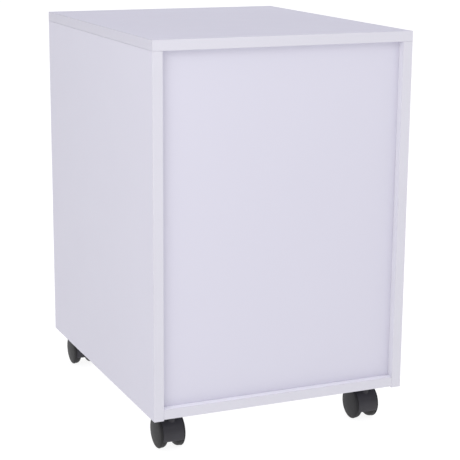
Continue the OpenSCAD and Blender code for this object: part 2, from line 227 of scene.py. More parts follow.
materials = {
    "melamine": surface("melamine", (0.665, 0.651, 0.742), 0.42, spread=0.006, mottle=3,
                        grain=(700, 0.02), specular=0.28),
    "edge_band": surface("edge_band", (0.664, 0.653, 0.716), 0.34, spread=0.008, mottle=5,
                         grain=(450, 0.02), stretch=(1, 1, 4)),
    # a darker copy of the edge band for the top board's sides: painted shade
    "top_band_painted_shade": surface("top_band_painted_shade", (0.612, 0.599, 0.678), 0.42, spread=0.006, mottle=5,
                        grain=(450, 0.02), stretch=(1, 1, 4), specular=0.28),
    # a lighter copy of the melamine for the side boards' inner faces: painted light against the shade in the
    # back recess
    "inner_melamine_painted_light": surface("inner_melamine_painted_light", (0.77, 0.76, 0.82), 0.42, spread=0.006, mottle=3,
                              grain=(700, 0.02), specular=0.28),
    # a lighter copy of the melamine for the bottom board's upper face: painted light against the shade on
    # the recess ledge
    "bottom_melamine_painted_light": surface("bottom_melamine_painted_light", (0.86, 0.85, 0.91), 0.42, spread=0.006, mottle=3,
                              grain=(700, 0.02)),
    "drawer_melamine": surface("drawer_melamine", (0.66, 0.66, 0.69), 0.5, spread=0.01, mottle=5,
                               grain=(500, 0.03)),
    "hardboard": surface("hardboard", (0.62, 0.62, 0.64), 0.55, spread=0.015, mottle=9,
                         grain=(350, 0.05)),
    "zinc": surface("zinc", (0.47, 0.48, 0.50), 0.34, spread=0.06, mottle=40,
                    grain=(260, 0.02), stretch=(3, 0.25, 3), metallic=1.0, polish=0.09),
    "satin_metal": surface("satin_metal", (0.47, 0.47, 0.48), 0.3, spread=0.03, mottle=60,
                           grain=(500, 0.012), stretch=(0.12, 3, 3), metallic=1.0, polish=0.05),
    "chrome": surface("chrome", (0.58, 0.58, 0.60), 0.14, spread=0.02, mottle=50,
                      grain=(400, 0.004), metallic=1.0, polish=0.04),
    "nylon": surface("nylon", (0.019, 0.0175, 0.0245), 0.44, spread=0.10, mottle=60,
                     grain=(2600, 0.03)),
    "wheel_nylon": surface("wheel_nylon", (0.018, 0.0175, 0.019), 0.5, spread=0.08, mottle=45,
                           grain=(1800, 0.03), specular=0.22),
    "dark_plastic": surface("dark_plastic", (0.03, 0.03, 0.033), 0.5, spread=0.1, mottle=40,
                            grain=(1500, 0.03)),
}


# ---------------------------------------------------------------- mesh helpers
def piece_from(bm, name, material, body, sharp=32):
    """Turns a bmesh into a piece that rides on a CAD body. Edges over sharp degrees stay crisp."""
    bmesh.ops.remove_doubles(bm, verts=bm.verts, dist=1e-7)
    bmesh.ops.recalc_face_normals(bm, faces=bm.faces)
    mesh = bpy.data.meshes.new(name)
    bm.to_mesh(mesh)
    bm.free()
    piece = bpy.data.objects.new(name, mesh)
    bpy.context.scene.collection.objects.link(piece)
    mesh.materials.append(materials[material])
    mesh.polygons.foreach_set("use_smooth", [True] * len(mesh.polygons))
    mesh.set_sharp_from_angle(angle=math.radians(sharp))
    flatten = piece.modifiers.new("flat_faces", "WEIGHTED_NORMAL")
    flatten.keep_sharp = True
    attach(piece, body)
    return piece


def add_box(bm, low, high, radius=0.0, segments=2, on=None):
    """A box with round edges. on(midpoint) says which edges are rounded; all are by default."""
    low, high = Vector(low), Vector(high)
    verts = bmesh.ops.create_cube(bm, size=1.0)["verts"]
    size = high - low
    bmesh.ops.scale(bm, vec=size, verts=verts)
    bmesh.ops.translate(bm, vec=(low + high) / 2, verts=verts)
    edges = {e for v in verts for e in v.link_edges}
    if on:
        edges = {e for e in edges if on((e.verts[0].co + e.verts[1].co) / 2)}
    if radius and edges:
        ordered = sorted(edges, key=lambda e: e.index)
        bmesh.ops.bevel(bm, geom=ordered, offset=radius, segments=segments, profile=0.5, affect="EDGES")


def add_loft(bm, rings, closed=False):
    """Skins rings of points that all have the same number of points, and caps the two ends."""
    made = [[bm.verts.new(p) for p in ring] for ring in rings]
    count = len(made[0])
    pairs = list(zip(made, made[1:]))
    if closed:
        pairs.append((made[-1], made[0]))
    for a, b in pairs:
        for i in range(count):
            j = (i + 1) % count
            bm.faces.new((a[i], a[j], b[j], b[i]))
    if not closed:
        bm.faces.new(made[0][::-1])
        bm.faces.new(made[-1])


def add_lathe(bm, profile, place, steps=64, closed=False):
    """Turns (radius, height) points round the Z axis of place. A radius of 0 ends the shape in a point."""
    rings = []
    for radius, height in profile:
        if radius < 1e-9:
            rings.append([bm.verts.new(place @ Vector((0, 0, height)))])
            continue
        turns = [2 * math.pi * i / steps for i in range(steps)]
        points = [Vector((radius * math.cos(a), radius * math.sin(a), height)) for a in turns]
        rings.append([bm.verts.new(place @ point) for point in points])
    pairs = list(zip(rings, rings[1:]))
    if closed:
        pairs.append((rings[-1], rings[0]))
    for a, b in pairs:
        for i in range(steps):
            j = (i + 1) % steps
            corners = [a[i % len(a)], a[j % len(a)], b[j % len(b)], b[i % len(b)]]
            bm.faces.new(list(dict.fromkeys(corners)))


def arc(centre, radius, start, end, steps):
    """Points on an arc, with its angles in degrees."""
    points = []
    for i in range(steps + 1):
        a = math.radians(start + (end - start) * i / steps)
        points.append((centre[0] + radius * math.cos(a), centre[1] + radius * math.sin(a)))
    return points


def round_rect(width, height, radius, steps=3):
    """Outline of a rectangle with round corners, centred, anticlockwise."""
    w, h = width / 2 - radius, height / 2 - radius
    points = []
    for (x, y), start in zip([(w, h), (-w, h), (-w, -h), (w, -h)], [0, 90, 180, 270]):
        points += arc((x, y), radius, start, start + 90, steps)
    return points


def fillet(path, radius, steps=5):
    """Rounds the inner corners of an open path of 2-D points."""
    points = [Vector(path[0])]
    for before, corner, after in zip(path, path[1:], path[2:]):
        corner = Vector(corner)
        u, v = (Vector(before) - corner).normalized(), (Vector(after) - corner).normalized()
        half = math.acos(max(-1.0, min(1.0, u.dot(v)))) / 2
        reach = radius / math.tan(half)
        centre = corner + (u + v).normalized() * (radius / math.sin(half))
        start, end = corner + u * reach - centre, corner + v * reach - centre
        first = math.atan2(start.y, start.x)
        turn = math.atan2(start.x * end.y - start.y * end.x, start.dot(end))
        for i in range(steps + 1):
            a = first + turn * i / steps
            points.append(centre + Vector((math.cos(a), math.sin(a))) * radius)
    points.append(Vector(path[-1]))
    return points


def add_strip(bm, path, thickness, low, high, place, edge):
    """Sweeps a strip with round edges along a path in place's XY plane. It spans low to high along Z."""
    section = round_rect(thickness, high - low, edge, 2)
    rings = []
    for i, point in enumerate(path):
        ahead = (path[min(i + 1, len(path) - 1)] - path[max(i - 1, 0)]).normalized()
        side = Vector((ahead.y, -ahead.x))
        rings.append([place @ Vector((*(point + side * a), (low + high) / 2 + b)) for a, b in section])
    add_loft(bm, rings)


def axes_at(origin, x, y, z):
    """A placing matrix from an origin and its three axes."""
    turn = Matrix((x, y, z)).transposed().to_4x4()
    return Matrix.Translation(origin) @ turn


def drill(piece, holes):
    """Bores holes through a piece: each is a mouth, a direction into the piece, a radius and a depth."""
    chamfer, over = 0.3 * MM, 1 * MM
    bm = bmesh.new()
    for mouth, inward, radius, depth in holes:
        turn = Vector(inward).to_track_quat("Z", "Y").to_matrix().to_4x4()
        profile = [(0, -over), (radius + chamfer + over, -over), (radius, chamfer), (radius, depth),
                   (0, depth)]
        add_lathe(bm, profile, Matrix.Translation(mouth) @ turn, 48)
    cut_with(piece, bm)


def cut_with(piece, bm):
    """Cuts a bmesh away from a piece."""
    bmesh.ops.recalc_face_normals(bm, faces=bm.faces)
    mesh = bpy.data.meshes.new("cutter")
    bm.to_mesh(mesh)
    bm.free()
    cutter = bpy.data.objects.new("cutter", mesh)
    bpy.context.scene.collection.objects.link(cutter)
    cut = piece.modifiers.new("cut", "BOOLEAN")
    cut.object, cut.operation, cut.solver = cutter, "DIFFERENCE", "EXACT"
    others = [m for m in piece.modifiers if m != cut]
    for m in others:
        m.show_viewport = False
    view = bpy.context.evaluated_depsgraph_get()
    result = bpy.data.meshes.new_from_object(piece.evaluated_get(view))
    piece.modifiers.remove(cut)
    for m in others:
        m.show_viewport = True
    old, piece.data = piece.data, result
    result.name = piece.name
    bpy.data.meshes.remove(old)
    bpy.data.objects.remove(cutter)
    bpy.data.meshes.remove(mesh)


def punch(piece, middles, length, radius, reach):
    """Punches round-ended slots, which run along Y, through sheet that faces X."""
    bm = bmesh.new()
    half = length / 2 - radius
    outline = arc((half, 0), radius, -90, 90, 10) + arc((-half, 0), radius, 90, 270, 10)
    for middle in middles:
        add_loft(bm, [[Vector(middle) + Vector((x, u, v)) for u, v in outline] for x in (-reach, reach)])
    cut_with(piece, bm)


def add_pads(bm, middles, length, height, thick, edge):
    """Round-ended pads that run along Y and face X, with soft edges."""
    half = thick / 2
    for middle in middles:
        rings = []
        for x, inset in ((-half, edge), (edge - half, 0), (half - edge, 0), (half, edge)):
            section = round_rect(length - 2 * inset, height - 2 * inset, height * 0.4 - inset, 5)
            rings.append([Vector(middle) + Vector((x, u, v)) for u, v in section])
        add_loft(bm, rings)


# A pan head from its foot to its crown, as (radius, height) in millimetres, and its cross recess
PAN_HEAD = [(0, 0), (3.3, 0), (3.4, 0.3), (3.1, 0.9), (2.3, 1.35), (0, 1.5)]
RECESS_ARM, RECESS_HALF, RECESS_FLOOR, RECESS_OVER = 1.9 * MM, 0.38 * MM, 0.6 * MM, 3 * MM


def make_screw_heads(name, body, seats):
    """Pan heads with a cross recess. A seat is the middle of a head's foot and the X direction it faces."""
    heads, recesses = bmesh.new(), bmesh.new()
    profile = [(radius * MM, height * MM) for radius, height in PAN_HEAD]
    corners = ((RECESS_ARM, -RECESS_HALF), (RECESS_ARM, RECESS_HALF), (RECESS_HALF, RECESS_HALF))
    cross = [(u * c - v * s, u * s + v * c)
             for c, s in ((1, 0), (0, 1), (-1, 0), (0, -1)) for u, v in corners]
    for seat, out in seats:
        add_lathe(heads, profile, axes_at(seat, Y * out, Z, X * out), 28)
        add_loft(recesses, [[Vector(seat) + Vector((out * x, u, v)) for u, v in cross]
                            for x in (RECESS_FLOOR, RECESS_OVER)])
    cut_with(piece_from(heads, name, "zinc", body), recesses)


# ---------------------------------------------------------------- carcass
BAND = 0.8 * MM            # thickness of the edge band
BAND_ROUND = 0.6 * MM      # rounding of its outer edges
BARE_ROUND = 0.25 * MM     # rounding of a board's edges that have no band


def make_board(name, node, body, banded, side_band="edge_band"):
    """A melamine board with its edge bands. banded lists (axis, side) pairs: side is -1 or 1. side_band is
    the material of the bands that don't face along Y; the top board's is a darker copy of the edge band,
    painted shade.
    """
    low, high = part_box(node)
    thin = min(range(3), key=lambda a: high[a] - low[a])
    core_low, core_high = low.copy(), high.copy()
    for axis, side in banded:
        if side < 0:
            core_low[axis] += BAND
        else:
            core_high[axis] -= BAND
    around = [(axis, side) for axis in range(3) for side in (-1, 1) if axis != thin]
    bare = [edge for edge in around if edge not in banded]

    def is_bare(point):
        return any(abs(point[a] - (high if s > 0 else low)[a]) < SAME for a, s in bare)

    bm = bmesh.new()
    add_box(bm, core_low, core_high, BARE_ROUND, 2, is_bare)
    core = piece_from(bm, name, "melamine", body)
    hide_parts(node)

    strips = {}
    for order, (axis, side) in enumerate(banded):
        finish = "edge_band" if axis == 1 else side_band
        if finish not in strips:
            strips[finish] = bmesh.new()
        strip_low, strip_high = low.copy(), high.copy()
        for other, other_side in banded[:order]:       # later strips stop at earlier ones
            if other != axis:
                if other_side < 0:
                    strip_low[other] += BAND
                else:
                    strip_high[other] -= BAND
        if side < 0:
            strip_high[axis] = low[axis] + BAND
        else:
            strip_low[axis] = high[axis] - BAND
        outer = (high if side > 0 else low)[axis]
        add_box(strips[finish], strip_low, strip_high, BAND_ROUND, 3, lambda p: abs(p[axis] - outer) < SAME)
    for number, (finish, bm) in enumerate(strips.items()):
        piece_from(bm, name + "_edging" + "_sides" * number, finish, body)
    return core


def paint_light_on_face(piece, outward, material):
    """Gives the faces of a board that look one way another material; here always a lighter melamine, painted
    light against the shade on those faces.
    """
    piece.data.materials.append(materials[material])
    for polygon in piece.data.polygons:
        if polygon.normal.dot(outward) > 0.99:
            polygon.material_index = 1


# Pockets of the cam fittings: radius, depth, and how far they sit from the joint and from a board's ends
CAM_R, CAM_DEEP, CAM_BACK, CAM_IN_Y, CAM_IN_Z = 7.5 * MM, 12.5 * MM, 34 * MM, 76 * MM, 60 * MM


def make_carcass():
    """The five boards with their bands and cam pockets."""
    cam_rows = [y_front + CAM_IN_Y, y_rear - CAM_IN_Y]
    # the top board's side bands carry painted shade: a darker copy of the edge band
    make_board("top_board", "top_panel", "carcass", [(1, 1), (1, -1), (0, 1), (0, -1)], "top_band_painted_shade")
    for hand, sign in (("left", -1), ("right", 1)):
        side = make_board(hand + "_side_board", hand + "_side_panel", "carcass", [(1, 1), (1, -1), (2, -1)])
        drill(side, [((sign * x_in, y, z_in_high - CAM_BACK), (sign, 0, 0), CAM_R, CAM_DEEP)
                     for y in cam_rows])
        # the inner faces get a lighter melamine: painted light against the shade in the back recess
        paint_light_on_face(side, X * -sign, "inner_melamine_painted_light")
    bottom = make_board("bottom_board", "bottom_panel", "carcass", [(1, 1), (1, -1)])
    drill(bottom, [((sign * (x_in - CAM_BACK), y, floor_low.z), (0, 0, 1), CAM_R, CAM_DEEP)
                   for y in cam_rows for sign in (-1, 1)])
    # the upper face gets a lighter melamine: painted light against the shade on the ledge in the back recess
    paint_light_on_face(bottom, Z, "bottom_melamine_painted_light")
    back = make_board("back_board", "back_panel", "carcass", [])
    drill(back, [((sign * (x_in - CAM_BACK), back_face, z), (0, 1, 0), CAM_R, CAM_DEEP)
                 for z in (z_in_low + CAM_IN_Z, z_in_high - CAM_IN_Z) for sign in (-1, 1)])


def make_strike():
    """The bent steel plate that the lock's cam turns up behind."""
    low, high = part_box("lock_strike")
    y, z = low.y + STEEL / 2, high.z - STEEL / 2
    bm = bmesh.new()
    path = fillet([(y, low.z), (y, z), (high.y, z)], 1.5 * MM)
    add_strip(bm, path, STEEL, low.x, high.x, axes_at((0, 0, 0), Y, Z, X), STEEL_EDGE)
    strike = piece_from(bm, "strike_plate", "zinc", "carcass")
    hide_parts("lock_strike")


# ---------------------------------------------------------------- slides
# Each kind of channel in millimetres: its (distance from the drawer side, height) points, and its bends
OUTER_PATH = [(4.1, 19.3), (4.1, 21.9), (12.1, 21.9), (12.1, -21.9), (4.1, -21.9), (4.1, -19.3)]
MIDDLE_PATH = [(2.2, 16.4), (8.0, 16.4), (8.0, -16.4), (2.2, -16.4)]
INNER_PATH = [(6.6, 12.4), (0.6, 12.4), (0.6, -12.4), (6.6, -12.4)]
OUTER_BEND, BEND = 1.1, 1.4
OUTER_WALL, MIDDLE_WALL, INNER_WALL = 12.1, 8.0, 0.6       # distances of their upright walls
BALL_PITCH, CAGE_HALF = 14 * MM, 0.35 * MM                 # and half the thickness of a ball cage


def make_channel(name, node, body, path, bend):
    """A pair of rolled channels, one on each side of a drawer."""
    low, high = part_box(node)
    z = (low.z + high.z) / 2
    bm = bmesh.new()
    middle_line = fillet([Vector(p) * MM for p in path], bend * MM)
    for sign in (-1, 1):
        place = axes_at((sign * drawer_x, 0, z), X * sign, Z, Y)
        add_strip(bm, middle_line, STEEL, low.y, high.y, place, STEEL_EDGE)
    channel = piece_from(bm, name, "zinc", body, 40)
    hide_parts(node)
    return channel


def make_ball_rows(name, body, start, end, z, rise, reach, radius):
    """Balls in their retainer strips, rise above and below z, and reach out from the drawer sides."""
    balls, strips = bmesh.new(), bmesh.new()
    count = int((end - start) / BALL_PITCH)
    cage_rise = 0.8 * radius
    for sign in (-1, 1):
        for level in (-1, 1):
            x = sign * (drawer_x + reach)
            row_z = z + level * rise
            for i in range(count):
                at = Matrix.Translation((x, start + (i + 0.5) * BALL_PITCH, row_z))
                bmesh.ops.create_icosphere(balls, subdivisions=2, radius=radius, matrix=at)
            cage_low = (x - CAGE_HALF, start, row_z - cage_rise)
            cage_high = (x + CAGE_HALF, end, row_z + cage_rise)
            add_box(strips, cage_low, cage_high, 0.1 * MM)
    piece_from(balls, name + "_balls", "chrome", body, 60)
    piece_from(strips, name + "_ball_cage", "zinc", body)


def slide_points(reach, places, z):
    """Points on both slides of a drawer, reach millimetres out from its sides."""
    return [(sign * (drawer_x + reach * MM), y, z) for y in places for sign in (-1, 1)]


def make_slides(drawer):
    """The telescopic slides of one drawer, with everything that sits in them."""
    on_drawer, on_slides = drawer + "_drawer", drawer + "_slides"
    low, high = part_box(drawer + "_cabinet_rails")
    z = (low.z + high.z) / 2
    length = high.y - low.y
    outer = make_channel(drawer + "_outer_channels", drawer + "_cabinet_rails", "carcass",
                         OUTER_PATH, OUTER_BEND)
    middle = make_channel(drawer + "_middle_channels", drawer + "_slide_members", on_slides,
                          MIDDLE_PATH, BEND)
    inner = make_channel(drawer + "_inner_channels", drawer + "_drawer_rails", on_drawer,
                         INNER_PATH, BEND)
    make_ball_rows(drawer + "_outer", on_slides, low.y + 0.52 * length, high.y - 12 * MM, z,
                   rise=19.15 * MM, reach=7.2 * MM, radius=2.0 * MM)
    make_ball_rows(drawer + "_inner", on_slides, low.y + 12 * MM, low.y + 0.48 * length, z,
                   rise=14.4 * MM, reach=4.6 * MM, radius=1.3 * MM)

    # slots between the screws, and the screws that hold the inner channels to the drawer
    outer_slots = [low.y + part * length for part in (0.2, 0.36, 0.62, 0.78)]
    middle_slots = [low.y + part * length for part in (0.1, 0.3, 0.7, 0.9)]
    inner_slots = outer_slots[2:]
    punch(outer, slide_points(OUTER_WALL, outer_slots, z), length=34 * MM, radius=3.5 * MM, reach=2 * MM)
    punch(middle, slide_points(MIDDLE_WALL, middle_slots, z), length=26 * MM, radius=4 * MM, reach=2 * MM)
    punch(inner, slide_points(INNER_WALL, inner_slots, z), length=22 * MM, radius=3 * MM, reach=0.5 * MM)
    screws = [low.y + 35 * MM, low.y + length / 2, high.y - 45 * MM]
    foot = INNER_WALL + STEEL / MM / 2
    seats = [(place, math.copysign(1, place[0])) for place in slide_points(foot, screws, z)]
    make_screw_heads(drawer + "_rail_screws", on_drawer, seats)

    # black plastic: the release levers in the inner channels and the guides at the mouths of the outer ones
    lever_y, guide_y = low.y + 0.28 * length, low.y + 7 * MM
    bm = bmesh.new()
    add_pads(bm, slide_points(3.4, [lever_y], z), 62 * MM, 11 * MM, thick=3.4 * MM, edge=0.6 * MM)
    add_pads(bm, slide_points(2.6, [lever_y], z), 84 * MM, 7 * MM, thick=1.6 * MM, edge=0.5 * MM)
    piece_from(bm, drawer + "_release_levers", "dark_plastic", on_drawer)
    bm = bmesh.new()
    add_pads(bm, slide_points(10.2, [guide_y], z), 12 * MM, 26 * MM, thick=2.4 * MM, edge=0.5 * MM)
    piece_from(bm, drawer + "_mouth_guides", "dark_plastic", "carcass")


# ---------------------------------------------------------------- drawers
SCREW_HOLE_R, LOCK_HOLE_R = 2.25 * MM, 8.1 * MM


def make_front(drawer):
    """A drawer front, drilled for its handle's screws and, on the upper drawer, for the lock."""
    front = make_board(drawer + "_front_board", drawer + "_drawer_front", drawer + "_drawer",
                       [(0, 1), (0, -1), (2, 1), (2, -1)])
    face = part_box(drawer + "_drawer_front")[0].y
    deep = board_t + 2 * MM
    grip_low, grip_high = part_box(drawer + "_handle_screws")
    z = (grip_low.z + grip_high.z) / 2
    head_r = (grip_high.z - grip_low.z) / 2
    holes = [((x, face, z), (0, 1, 0), SCREW_HOLE_R, deep)
             for x in (grip_low.x + head_r, grip_high.x - head_r)]
    if drawer == "upper":
        plug_low, plug_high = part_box("lock_plug")
        centre = (plug_low + plug_high) / 2
        holes.append(((centre.x, face, centre.z), (0, 1, 0), LOCK_HOLE_R, deep))
    drill(front, holes)


def make_drawer_box(drawer):
    """Two grooved sides, a back and a thin bottom, with soft top edges."""
    body = drawer + "_drawer"
    low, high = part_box(drawer + "_drawer_sides")
    bottom_low, bottom_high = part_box(drawer + "_drawer_bottom")
    back_low, back_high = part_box(drawer + "_drawer_back")
    wall, groove, lip = high.x - back_high.x, bottom_high.x - back_high.x, 1.5 * MM
    outline = [(0, low.z), (wall, low.z), (wall, bottom_low.z), (wall - groove, bottom_low.z),
               (wall - groove, bottom_high.z), (wall, bottom_high.z)]
    outline += arc((wall - lip, high.z - lip), lip, 0, 90, 4) + arc((lip, high.z - lip), lip, 90, 180, 4)
    bm = bmesh.new()
    for sign in (-1, 1):
        add_loft(bm, [[Vector((sign * (high.x - u), y, v)) for u, v in outline] for y in (low.y, high.y)])
    sides = piece_from(bm, drawer + "_side_walls", "drawer_melamine", body)
    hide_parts(drawer + "_drawer_sides")

    bm = bmesh.new()
    add_box(bm, back_low, back_high, 1.2 * MM, 3, lambda p: abs(p.z - back_high.z) < SAME)
    back = piece_from(bm, drawer + "_back_wall", "drawer_melamine", body)
    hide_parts(drawer + "_drawer_back")

    bm = bmesh.new()
    add_box(bm, bottom_low, bottom_high, 0.3 * MM, 2)
    bottom = piece_from(bm, drawer + "_tray", "hardboard", body)
    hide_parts(drawer + "_drawer_bottom")


def make_hanging_rails():
    """Punched steel rails inside the file drawer, screwed to its sides, on which folders hang."""
    low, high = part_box("hanging_rails")
    wall_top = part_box("file_drawer_sides")[1].z
    slot_z, screw_z = wall_top + 8 * MM, wall_top - 6 * MM
    length, thick = high.y - low.y, 3 * MM
    inner_x = high.x - thick
    bm = bmesh.new()
    for sign in (-1, 1):
        near, far = sorted((sign * high.x, sign * inner_x))
        add_box(bm, (near, low.y, low.z), (far, high.y, high.z), 0.9 * MM, 3)
    rails = piece_from(bm, "folder_rails", "zinc", "file_drawer")
    slots = [(sign * (high.x - thick / 2), low.y + part * length, slot_z)
             for part in (0.17, 0.39, 0.61, 0.83) for sign in (-1, 1)]
    punch(rails, slots, length=46 * MM, radius=3.2 * MM, reach=thick)
    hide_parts("hanging_rails")
    seats = [((sign * inner_x, low.y + part * length, screw_z), -sign)
             for part in (0.06, 0.5, 0.94) for sign in (-1, 1)]
    make_screw_heads("folder_rail_screws", "file_drawer", seats)


def make_handle(drawer):
    """A bow handle, skinned between its inner and outer outline."""
    low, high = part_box(drawer + "_handle")
    half, reach, height = (high.x - low.x) / 2, high.y - low.y, high.z - low.z
    leg, bar = 10 * MM, 6 * MM
    outlines = []
    for side, front, turn_r in ((half, reach, 11 * MM), (half - leg, reach - bar, 6 * MM)):
        right = [(side, 0)] + arc((side - turn_r, turn_r - front), turn_r, 0, -90, 10)
        outlines.append([Vector(p) for p in right] + [Vector((-x, y)) for x, y in right[::-1]])
    foot = Vector(((low.x + high.x) / 2, high.y))
    z = (low.z + high.z) / 2
    rings = []
    for outer, inner in zip(*outlines):
        across = outer - inner
        centre, along = foot + (outer + inner) / 2, across.normalized()
        section = round_rect(across.length, height, 2.2 * MM, 5)
        rings.append([Vector((*(centre + along * u), z + v)) for u, v in section])
    bm = bmesh.new()
    add_loft(bm, rings)
    handle = piece_from(bm, drawer + "_bow", "satin_metal", drawer + "_drawer", 50)
    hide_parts(drawer + "_handle")


# ---------------------------------------------------------------- lock
NUT_R, NUT_BORE, NUT_DEEP = 10.2 * MM, 8.05 * MM, 3 * MM      # the hexagonal nut behind the front
KEY_WIDE, KEY_TALL, KEY_DEEP = 1.6 * MM, 7 * MM, 5 * MM        # the key slot


def make_lock():
    """The lock, whose parts all share one axis."""
    low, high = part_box("lock_plug")
    x, z = (low.x + high.x) / 2, (low.z + high.z) / 2
    place = axes_at((x, y_front, z), X, Z * -1, Y)
    make_lock_housing(place)
    make_lock_plug(place, x, z)
    make_lock_cam(x, z)


def make_lock_housing(place):
    """The housing with its bezel and its nut."""
    house_low, house_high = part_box("lock_housing")
    bore, shank, rim, rim_round, chamfer = 5.6 * MM, 8 * MM, 10 * MM, 1.5 * MM, 0.4 * MM
    lip, deep = y_front - house_low.y, house_high.y - y_front
    profile = [(bore, chamfer - lip), (bore + chamfer, -lip)]
    profile += arc((rim - rim_round, rim_round - lip), rim_round, -90, 0, 6)
    profile += [(rim, 0), (shank, 0), (shank, deep), (bore, deep)]
    bm = bmesh.new()
    add_lathe(bm, profile, place, 72, closed=True)
    nut = [(NUT_BORE, 0), (NUT_R, 0), (NUT_R, NUT_DEEP), (NUT_BORE, NUT_DEEP)]
    add_lathe(bm, nut, place @ Matrix.Translation((0, 0, board_t)), 6, closed=True)
    barrel = piece_from(bm, "lock_barrel_housing", "chrome", "upper_drawer")
    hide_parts("lock_housing")


def make_lock_plug(place, x, z):
    """The plug that turns in the housing, with its key slot."""
    low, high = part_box("lock_plug")
    face, end, r, neck_r = low.y - y_front, high.y - y_front, (high.x - low.x) / 2, 3 * MM
    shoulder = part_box("lock_housing")[1].y - y_front + 0.6 * MM
    profile = [(0, face), (r - 0.6 * MM, face), (r - 0.2 * MM, face + 0.15 * MM), (r, face + 0.6 * MM),
               (r, shoulder), (neck_r, shoulder), (neck_r, end), (0, end)]
    bm = bmesh.new()
    add_lathe(bm, profile, place, 64)
    plug = piece_from(bm, "lock_core", "chrome", "lock_barrel")
    key_slot = bmesh.new()
    add_box(key_slot, (x - KEY_WIDE / 2, low.y - 1 * MM, z - KEY_TALL / 2),
            (x + KEY_WIDE / 2, low.y + KEY_DEEP, z + KEY_TALL / 2))
    cut_with(plug, key_slot)
    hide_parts("lock_plug")


def make_lock_cam(x, z):
    """The cam on the plug's end: round where it turns, with a tip that has two round corners."""
    low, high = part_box("lock_cam")
    hub_r, edge = (high.z - low.z) / 2, 0.3 * MM
    tip_r = hub_r / 2
    outline = arc((x, z), hub_r, -90, 90, 16) + arc((low.x + tip_r, z + hub_r - tip_r), tip_r, 90, 180, 5)
    outline += arc((low.x + tip_r, z - hub_r + tip_r), tip_r, 180, 270, 5)
    middle = (low.x + high.x) / 2
    rings = []
    for inset, y in ((edge, low.y), (0, low.y + edge), (0, high.y - edge), (edge, high.y)):
        shrink = 1 - inset / hub_r
        rings.append([Vector((middle + (u - middle) * shrink, y, z + (v - z) * shrink)) for u, v in outline])
    bm = bmesh.new()
    add_loft(bm, rings)
    cam = piece_from(bm, "lock_tongue", "zinc", "lock_barrel")
    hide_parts("lock_cam")


# ---------------------------------------------------------------- casters
HOOD_LOW = 15.5 * MM                       # lower edge of the hood above the floor
HOOD_OVER, HOOD_T = 1.0 * MM, 1.3 * MM     # how far the hood stands out from the wheels, and its thickness
HOOD_END, HOOD_LIP = 128.0, 2.0            # degrees round the axle: its front edge, and its thinned lips
WEB_BACK, WEB_BLEND = 3, 8                 # degrees: how far the web ends inside the hood, and narrows
SOFT, BEVEL = 0.8 * MM, 0.25 * MM          # rounding of moulded edges, in two steps
PLATE_T, PLATE_HOLE = 2.0 * MM, 14 * MM    # the plate's thickness, and how far its holes are off centre


def caster_axes(name):
    """A caster's swivel axis on the floor, the middle of its axle, and the outer radius of its hood."""
    plate_low, plate_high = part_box(name + "_caster_plate")
    wheel_low, wheel_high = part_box(name + "_outer_wheel")
    x, y = (plate_low.x + plate_high.x) / 2, (plate_low.y + plate_high.y) / 2
    axle = Vector((x, (wheel_low.y + wheel_high.y) / 2, (wheel_low.z + wheel_high.z) / 2))
    return Vector((x, y, 0)), axle, (wheel_high.z - wheel_low.z) / 2 + HOOD_OVER


def make_wheel(name, side):
    """A moulded wheel: a domed face on a full-size flange, and a tread that rounds inwards."""
    low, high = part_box(name)
    centre = (low + high) / 2
    r, w = (high.z - low.z) / 2, high.x - low.x
    inner = low.x if side > 0 else high.x
    place = axes_at((inner, centre.y, centre.z), Y, Z * side, X * side)
    bore, hub, pocket, floor = 3.05 * MM, 6.5 * MM, 15 * MM, w - 3.5 * MM
    chamfer, corner = 0.4 * MM, 1 * MM
    tread, inset, tread_round = r - 0.45 * MM, 2.2 * MM, 6.6 * MM
    flange, step = w - 4.8 * MM, 0.2 * MM
    dome_r, rim_at, rim_in, rim_end = 150 * MM, w - 4.6 * MM, 5.5 * MM, 75
    ring, ring_half, ring_floor, ring_deep = 20.2 * MM, 0.5 * MM, 0.1 * MM, 0.22 * MM

    def face(radius):
        return w - (dome_r - math.sqrt(dome_r**2 - radius**2))

    # the boss on the axle, and the hollow round it
    profile = [(0, floor), (bore, floor), (bore, chamfer), (bore + chamfer, 0)]
    profile += [(hub - chamfer, 0), (hub, chamfer), (hub, floor - corner), (hub + corner, floor)]
    profile += [(pocket - corner, floor), (pocket, floor - corner), (pocket, inset + step),
                (pocket + step, inset)]
    # the tread, and the small step up to the flange
    profile += arc((tread - tread_round, inset + tread_round), tread_round, -90, 0, 14)
    profile += [(tread, flange - step), (tread + step, flange), (r - step, flange)]
    profile += [(r - step / 3, flange + step / 3)]
    # the rim, which runs smoothly into the dome, and the dome with its shallow ring
    rim_turn = [math.radians(rim_end) * i / 14 for i in range(15)]
    rim_radii = [r - rim_in + rim_in * math.cos(a) for a in rim_turn]
    rim_up = (face(rim_radii[-1]) - rim_at) / math.sin(rim_turn[-1])
    profile += [(radius, rim_at + rim_up * math.sin(a)) for radius, a in zip(rim_radii, rim_turn)]
    profile += [(ring + ring_half, face(ring + ring_half)), (ring + ring_floor, face(ring) - ring_deep),
                (ring - ring_floor, face(ring) - ring_deep), (ring - ring_half, face(ring - ring_half))]
    profile += [(q * MM, face(q * MM)) for q in range(18, -1, -2)]
    bm = bmesh.new()
    add_lathe(bm, profile, place, 96)
    return bm


